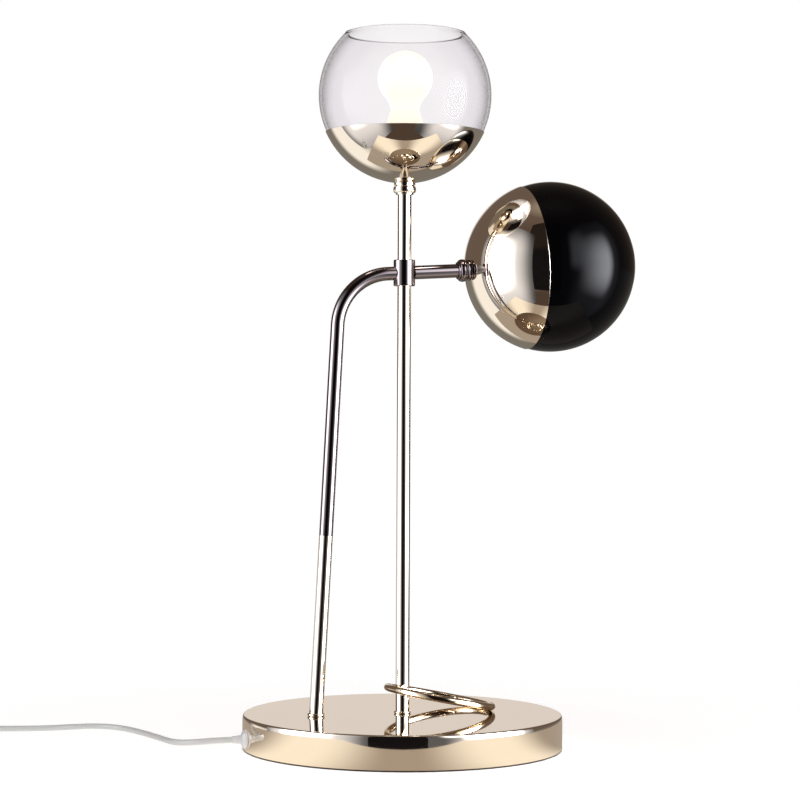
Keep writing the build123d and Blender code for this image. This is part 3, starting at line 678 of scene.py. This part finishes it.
def collar(name):
    """Ribbed collar: lip, bead and groove under the ring that the cup turns on."""
    soft = 0.3 * MM
    foot = -HEAD_OFFSET
    top = -RING_SEAT
    bead_start = foot + 1.6 * MM
    bead_end = bead_start + 6 * MM
    groove_end = bead_end + 0.8 * MM
    half_bead = (bead_end - bead_start) / 2
    middle = (bead_start + bead_end) / 2
    lip = TUBE_RADIUS + 1.8 * MM
    groove = TUBE_RADIUS + 1.9 * MM
    bead_edge = TUBE_RADIUS + 2.6 * MM
    bulge = 1.4 * MM
    bore = SPINDLE_RADIUS + SLIDE_GAP
    profile = [(bore, foot), (lip - soft, foot), (lip, foot + soft)]
    profile += [(lip, bead_start - 0.2 * MM), (lip - 0.2 * MM, bead_start)]
    for step in range(13):
        share = step / 12 * 2 - 1
        out = bead_edge + bulge * math.sqrt(1 - 0.98 * share**2)
        profile.append((out, middle + share * half_bead))
    profile += [(groove, bead_end + 0.1 * MM), (groove, groove_end - 0.1 * MM)]
    profile += [(COLLAR_RING - 0.4 * MM, groove_end), (COLLAR_RING, groove_end + 0.4 * MM)]
    profile += [(COLLAR_RING, top - soft), (COLLAR_RING - soft, top - 0.02 * MM)]
    seat_edge = ball_angle(CUP_SEAT, COLLAR_RING - 2 * soft)
    profile += arc((0, 0), CUP_SEAT, seat_edge, ball_angle(CUP_SEAT, bore), 4)
    return turned(name, profile, closed=True)


def ball_wall(name, outer, inner, hole, rise, soft):
    """Ball wall from the hole at its lower pole up to a level rim, with a softened rim."""
    level = rise - soft
    rim_out = math.sqrt(outer**2 - level**2)
    rim_in = math.sqrt(inner**2 - level**2)
    top_out = math.degrees(math.asin(level / outer))
    top_in = math.degrees(math.asin(level / inner))
    inset = min(soft, (rim_out - rim_in) / 3)
    bevel = rise - soft * 0.3
    profile = arc((0, 0), outer, ball_angle(outer, hole), top_out, BALL_STEPS)
    profile += [(rim_out - inset * 0.3, bevel), (rim_out - inset, rise)]
    profile += [(rim_in + inset, rise), (rim_in + inset * 0.3, bevel)]
    profile += arc((0, 0), inner, top_in, ball_angle(inner, hole), BALL_STEPS)
    return turned(name, profile, sides=BALL_SIDES, closed=True)


def lampholder(name):
    """White holder with a tapered top and a groove round its body."""
    soft = 0.5 * MM
    lip = SOCKET_RADIUS + 4.9 * MM
    cone = HOLDER_TOP - 12.3 * MM
    deep = HOLDER_TOP - 23 * MM
    groove = HOLDER_RADIUS - 0.6 * MM
    profile = [(SPINDLE_HOLE, HOLDER_FOOT), (HOLDER_RADIUS - 4.2 * MM, HOLDER_FOOT)]
    profile += [(HOLDER_RADIUS - soft, HOLDER_FOOT + 3.7 * MM)]
    profile += [(HOLDER_RADIUS, HOLDER_FOOT + 4.4 * MM)]
    profile += [(HOLDER_RADIUS, cone - 14 * MM), (groove, cone - 13.4 * MM)]
    profile += [(groove, cone - 12.6 * MM), (HOLDER_RADIUS, cone - 12 * MM)]
    profile += [(HOLDER_RADIUS, cone - 0.6 * MM), (HOLDER_RADIUS - 0.15 * MM, cone + 0.4 * MM)]
    profile += [(lip + 0.1 * MM, HOLDER_TOP - soft), (lip - soft, HOLDER_TOP)]
    profile += [(SOCKET_RADIUS + soft, HOLDER_TOP), (SOCKET_RADIUS, HOLDER_TOP - soft)]
    profile += [(SOCKET_RADIUS, deep), (SPINDLE_HOLE, deep)]
    return turned(name, profile, closed=True)


def bulb(name):
    """Ball that flows through a hollow curve into the neck."""
    foot = HOLDER_TOP + FIT_GAP
    floor = foot + FIT_GAP
    centre = foot + BULB_HEIGHT - BULB_RADIUS
    across = BULB_NECK + BULB_FLARE
    drop = math.sqrt((BULB_RADIUS + BULB_FLARE) ** 2 - across**2)
    low = centre - drop
    first = 180 - math.degrees(math.asin((foot + 0.4 * MM - low) / BULB_FLARE))
    touch = math.degrees(math.atan2(drop, across))
    profile = [(BULB_NECK * 0.6, floor), (BULB_NECK - 0.3 * MM, floor)]
    profile += arc((across, low), BULB_FLARE, first, 180 - touch, 14)
    profile += arc((0, centre), BULB_RADIUS, -touch, 87, 40)[1:]
    return turned(name, profile, pole=True)


def head(kind, place, wall, mouth, drop):
    """One lamp head: collar on the frame, and cup, shade, holder and bulb that swivel."""
    slot, trim, rim = {
        "glass": ("clear_glass", "gold", 0.8 * MM),
        "black": ("black_gloss", "gunmetal", 0.25 * MM),
    }[kind]
    body = f"{kind}_head"
    set_down(collar(f"{kind}_neck_collar"), place, "frame", trim, f"{kind}_collar")
    cup = ball_wall(f"{kind}_mirror_cup", CUP_OUTER, CUP_INNER, SPINDLE_HOLE, -drop, 0.15 * MM)
    set_down(cup, place, body, "gold", f"{kind}_cup")
    rise = math.sqrt(SHADE_RADIUS**2 - mouth**2)
    shade = ball_wall(f"{kind}_ball", SHADE_RADIUS, SHADE_RADIUS - wall, NECK_HOLE, rise, rim)
    set_down(shade, place, body, slot, f"{kind}_shade")
    holder = lampholder(f"{kind}_holder")
    # The holder wears a painted glow for the bulb's light on it
    set_down(holder, place, body, "white_plastic", f"{kind}_lampholder", look="holder_painted_glow")
    set_down(bulb(f"{kind}_opal_bulb"), place, body, "opal_bulb", f"{kind}_bulb")


def cord_bush():
    """Domed flange on the drum's wall that tapers to the cord."""
    bore = CORD_DIAMETER / 2 + FIT_GAP
    dome = [(7.8, 0), (8.2, 0.4), (8.0, 1.5), (7.2, 2.7), (5.8, 3.7), (4.4, 4.3)]
    taper = [(3.85, 5.2), (3.55, 7.5), (3.3, 11.2), (3.1, 12.2)]
    profile = [(bore, 0)]
    profile += [(radius * MM, height * MM) for radius, height in dome + taper]
    profile += [(bore, 12.4 * MM)]
    bush = turned("cord_bush_cap", profile, sides=TUBE_SIDES, closed=True)
    wall = BASE_RADIUS - COVER_DRAFT * 0.4 + 0.3 * MM
    place = Matrix.Translation((-wall, 0, BUSH_Z)) @ Matrix.Rotation(-math.pi / 2, 4, "Y")
    set_down(bush, place, "frame", "white_plastic", "cord_bush")


def on_inner_ring(piece, side, reach, level):
    """Whether an edge lies within reach of the axis and at a level."""
    ends = [piece.data.vertices[spot].co for spot in side.vertices]
    near = all(math.hypot(end.x, end.y) < reach for end in ends)
    return near and all(abs(end.z - level) < SAME_PLACE for end in ends)


def felt_disc():
    """Soft-edged felt under the base with a hole at each plate screw."""
    edge = 134.2 * MM
    inner = edge - 4 * MM
    thick = 2 * MM
    soft = 0.5 * MM
    screw_circle = 96.5 * MM
    screw_hole = 4.5 * MM
    profile = [(inner, 0), (edge - soft, 0), (edge, soft)]
    profile += [(edge, thick - soft), (edge - soft, thick), (inner, thick)]
    felt = turned("felt_disc", profile, sides=FELT_SIDES)
    bpy.ops.object.mode_set(mode="EDIT")
    for level in (0, thick):
        pick(felt, "edges", lambda side: on_inner_ring(felt, side, inner + 1 * MM, level))
        bpy.ops.mesh.edge_face_add()
    end_piece(felt)
    for angle in (30, 150, 270):
        out = Vector((screw_circle, 0, 0))
        out.rotate(Matrix.Rotation(math.radians(angle), 3, "Z"))
        nothing_selected()
        bpy.ops.mesh.primitive_cylinder_add(
            vertices=48, radius=screw_hole, depth=5 * thick, location=out
        )
        punch = bpy.context.object
        nothing_selected()
        felt.select_set(True)
        apply_modifier(felt, "BOOLEAN", operation="DIFFERENCE", object=punch, solver="EXACT")
        bpy.data.objects.remove(punch)
    set_down(felt, IN_PLACE, "frame", "felt", "felt_pad")


def twist_tie():
    """Flat band closed round the turns of the coil."""
    nothing_selected()
    bpy.ops.mesh.primitive_cube_add(size=1)
    band = bpy.context.object
    band.name = "twist_tie"
    band.scale = (22.1 * MM, 7 * MM, 13.4 * MM)
    bpy.ops.object.transform_apply(location=True, rotation=True, scale=True)
    bpy.ops.object.mode_set(mode="EDIT")
    pick(band, "polygons", lambda face: abs(face.normal.y) > 0.9)
    bpy.ops.mesh.delete(type="ONLY_FACE")
    spots = band.data.vertices

    def runs_across(side):
        first, second = (spots[spot].co.y for spot in side.vertices)
        return abs(first - second) > 1 * MM

    pick(band, "edges", runs_across)
    bpy.ops.mesh.bevel(offset=2.2 * MM, segments=6, affect="EDGES")
    end_piece(band)
    apply_modifier(band, "SOLIDIFY", thickness=0.8 * MM, offset=-1)
    apply_modifier(band, "BEVEL", width=0.25 * MM, segments=2, limit_method="ANGLE")
    place = STOW @ Matrix.Translation((-8.45 * MM, COIL_OFFSET, 6.7 * MM))
    set_down(band, place, "frame", "tie", "cord_tie")
    return band


# Studio: lengths in metres, strengths in shares of plain white

FLOOR_SIZE = (14, 14)
TABLE_SIDES = (-0.36, 0.45)
TABLE_ENDS = (-0.28, 0.32)
SOFTBOX_SIZE = (2.5, 3.6)
SOFTBOX_DISTANCE = 1.35
SOFTBOX_HEIGHT = 0.1
SOFTBOX_COLOUR = (0.97, 0.98, 1.05)
SOFTBOX_PLAIN = 0.95
SOFTBOX_LIGHT = 0.9
CORE_HEIGHT = 0.46
GAP_SIZE = (3.6, 6.0)
GAP_DISTANCE = 2.6
GAP_HEIGHT = 1.6
# Room in front of the lamp, from straight below (0) through level (0.5) to straight above (1)
FRONT_TONES = [
    (0.2, (0.08, 0.055, 0.042, 1)),
    (0.4, (0.3, 0.27, 0.25, 1)),
    (0.7, (0.3, 0.27, 0.25, 1)),
    (0.84, (0.1, 0.07, 0.058, 1)),
    (0.95, (0.14, 0.1, 0.08, 1)),
    (1.0, (0.35, 0.3, 0.24, 1)),
]


def stage_panel(name, size, place, material):
    nothing_selected()
    bpy.ops.mesh.primitive_plane_add(size=1)
    panel = bpy.context.object
    panel.name = name
    panel.matrix_world = place @ Matrix.Diagonal((*size, 1, 1))
    bpy.ops.object.transform_apply(location=True, rotation=True, scale=True)
    panel.data.materials.append(material)
    return panel


def studio_place(angle, distance, height):
    """Upright panel facing the lamp, at an angle in degrees from the studio's front."""
    heading = STUDIO_TURN + math.radians(angle)
    spot = Vector((-math.sin(heading), -math.cos(heading), 0)) * distance + Vector((0, 0, height))
    upright = Matrix.Rotation(-heading, 4, "Z") @ Matrix.Rotation(math.pi / 2, 4, "X")
    return Matrix.Translation(spot) @ upright


def studio_axes(shade, vector):
    """The vector on the studio's own axes: X to its right, Y to its rear, Z up."""
    return shade.node("ShaderNodeMapping", {"Vector": vector, "Rotation": (0, 0, STUDIO_TURN)})


def ray(shade, kind):
    return shade.node("ShaderNodeLightPath", output=f"Is {kind} Ray")


def glow(shade, colour, strength=1.0):
    return shade.node("ShaderNodeEmission", {"Color": colour, "Strength": strength})


def build_floor():
    """White floor that keeps the lamp's shadow; mirrors see a table top of limited size."""
    material, shade = new_material("pale_floor")
    place = own_place(shade)
    from_lamp = shade.node("ShaderNodeVectorMath", {0: place}, output="Value", operation="LENGTH")
    beyond_base = from_lamp > BASE_RADIUS
    place = studio_axes(shade, place)
    across, away = place.axis("X"), place.axis("Y")

    matt = shade.node("ShaderNodeBsdfDiffuse", {"Color": (0.86, 0.85, 0.84, 1)})
    near = shade.node("ShaderNodeAddShader", {0: matt, 1: glow(shade, beyond_base, 0.52)})
    far = from_lamp.eased(0.2, 0.55)
    pale = shade.node("ShaderNodeMixShader", {0: far, 1: near, 2: glow(shade, WHITE)})

    # The table top that mirrors see has a painted sheen: dark in front, bright to the sides, dimmer
    # behind
    beside = (abs(across) / from_lamp).eased(0.1, 0.72)
    behind = (away / from_lamp).eased(-0.5, 0.05)
    sheen = behind.blend(beside.blend((0.43, 0.36, 0.29), (1.1, 1.01, 0.86)), (0.42, 0.36, 0.3))
    table = glow(shade, beyond_base.blend((0, 0, 0), sheen))
    past_ends = shade.maths("MAXIMUM", away < TABLE_ENDS[0], away > TABLE_ENDS[1])
    past_sides = shade.maths("MAXIMUM", across < TABLE_SIDES[0], across > TABLE_SIDES[1])
    off_table = shade.maths("MAXIMUM", past_ends, past_sides)
    open_air = shade.node("ShaderNodeBsdfTransparent")
    mirrored = shade.node("ShaderNodeMixShader", {0: off_table, 1: table, 2: open_air})

    surface = {0: ray(shade, "Glossy"), 1: pale, 2: mirrored}
    show(shade, shade.node("ShaderNodeMixShader", surface))
    stage_panel("floor", FLOOR_SIZE, IN_PLACE, material)


def softbox(name, side, angle, peak, plain_rise, core_rise, core_fall, shoulder):
    """Tall light panel. Mirrors see it dim by the gap, then plain, with a core of strength peak
    level with the lamp and a shoulder between gap and core; elsewhere it is evenly lit.
    Rises and falls are shares of the panel's width, from the edge by the gap."""
    material, shade = new_material(name)
    across = shade.node("ShaderNodeTexCoord", output="Generated").axis("X")
    from_gap = 1 - across if side > 0 else across
    height = own_place(shade).axis("Z")

    plain = 0.13 + 0.87 * from_gap.eased(*plain_rise)
    plain = plain * (0.3 + 0.7 * from_gap.eased(1.0, 0.8))
    plain = plain * (0.55 + 0.45 * height.eased(-1.6, -0.3))
    plain = plain * (0.15 + 0.85 * height.eased(2.1, 0.9))
    core = from_gap.eased(*core_rise) * from_gap.eased(*core_fall)
    core = core * (1 - abs(height - CORE_HEIGHT).eased(0.1, 1.0))
    band = height.eased(0.15, 0.6) * height.eased(1.9, 0.9)
    band = band * from_gap.eased(0.12, 0.26) * from_gap.eased(0.5, 0.3)

    seen = plain * SOFTBOX_PLAIN + core * (peak - SOFTBOX_PLAIN) + band * shoulder
    power = ray(shade, "Glossy") * (seen - SOFTBOX_LIGHT) + SOFTBOX_LIGHT
    scaled = {0: SOFTBOX_COLOUR, "Scale": power}
    light = shade.node("ShaderNodeVectorMath", scaled, operation="SCALE")
    show(shade, glow(shade, light))
    place = studio_place(side * angle, SOFTBOX_DISTANCE, SOFTBOX_HEIGHT)
    return stage_panel(name, SOFTBOX_SIZE, place, material)


def dark_gap():
    """Unlit room between the softboxes, behind the camera."""
    material, shade = new_material("dark_gap")
    high = own_place(shade).axis("Z").eased(1.3, 1.7)
    show(shade, glow(shade, high.blend((0.008, 0.007, 0.008), (0.022, 0.015, 0.012))))
    place = studio_place(0, GAP_DISTANCE, GAP_HEIGHT)
    panel = stage_panel("dark_gap", GAP_SIZE, place, material)
    panel.visible_diffuse = False
    return panel


def build_world():
    """White to the camera and through glass; mirrors see the tones of the room."""
    world = bpy.data.worlds.new("studio")
    bpy.context.scene.world = world
    world.use_nodes = True
    world.node_tree.nodes.clear()
    shade = Shade(world.node_tree)
    way = studio_axes(shade, shade.node("ShaderNodeTexCoord", output="Generated"))
    across, away, height = way.axis("X"), way.axis("Y"), way.axis("Z")

    left = across.eased(-0.1, -0.45) * away.eased(0.78, 0.62)
    low = left.blend((0.21, 0.195, 0.175), (1.05, 1.03, 1.0))
    rear = height.eased(0.03, -0.05).blend((0.145, 0.108, 0.085), low)
    front = shade.node("ShaderNodeValToRGB", {"Fac": height * 0.5 + 0.5}, stops=FRONT_TONES)
    room = away.eased(-0.1, 0.35).blend(front, rear)
    backdrop = abs(across).eased(0.3, 0.16) * (away > 0)
    backdrop = backdrop * height.eased(0.0, 0.04) * height.eased(0.36, 0.24)
    room = backdrop.blend(room, (0.75, 0.685, 0.628))

    seen = ray(shade, "Camera") + ray(shade, "Transmission")
    around = shade.node("ShaderNodeBackground", {"Color": room, "Strength": 1.0})
    white = shade.node("ShaderNodeBackground", {"Color": WHITE, "Strength": 1.0})
    mixed = shade.node("ShaderNodeMixShader", {0: seen, 1: around, 2: white})
    shade.node("ShaderNodeOutputWorld", {"Surface": mixed})


def build_studio():
    build_world()
    build_floor()
    left = softbox(
        "softbox_left",
        side=1,
        angle=66,
        peak=9,
        plain_rise=(0.0, 0.35),
        core_rise=(0.28, 0.65),
        core_fall=(0.8, 0.68),
        shoulder=0,
    )
    right = softbox(
        "softbox_right",
        side=-1,
        angle=60,
        peak=22,
        plain_rise=(0.15, 0.45),
        core_rise=(0.28, 0.66),
        core_fall=(0.86, 0.7),
        shoulder=3.2,
    )
    for panel in (left, right, dark_gap()):
        panel.visible_camera = False
        panel.visible_transmission = False
        panel.visible_shadow = False
    data = bpy.data.lights.new("top_light", "AREA")
    data.energy = 14
    data.size = 1.6
    lamp = bpy.data.objects.new("top_light", data)
    lamp.location = (0.1, -0.3, 2.2)
    bpy.context.collection.objects.link(lamp)
    lamp.visible_glossy = False
    bpy.context.scene.view_settings.view_transform = "Standard"


place_camera()
dress_nodes()
lay_cords()
drum_base()
upright_post()
lower_leg()
bent_leg()
side_arm()
cross_hub()
wire_loop()
head("glass", GLASS_PLACE, GLASS_WALL, GLASS_MOUTH, GLASS_CUP_DROP)
head("black", BLACK_PLACE, BLACK_WALL, BLACK_MOUTH, BLACK_CUP_DROP)
cord_bush()
felt_disc()
build_studio()

nothing_selected()
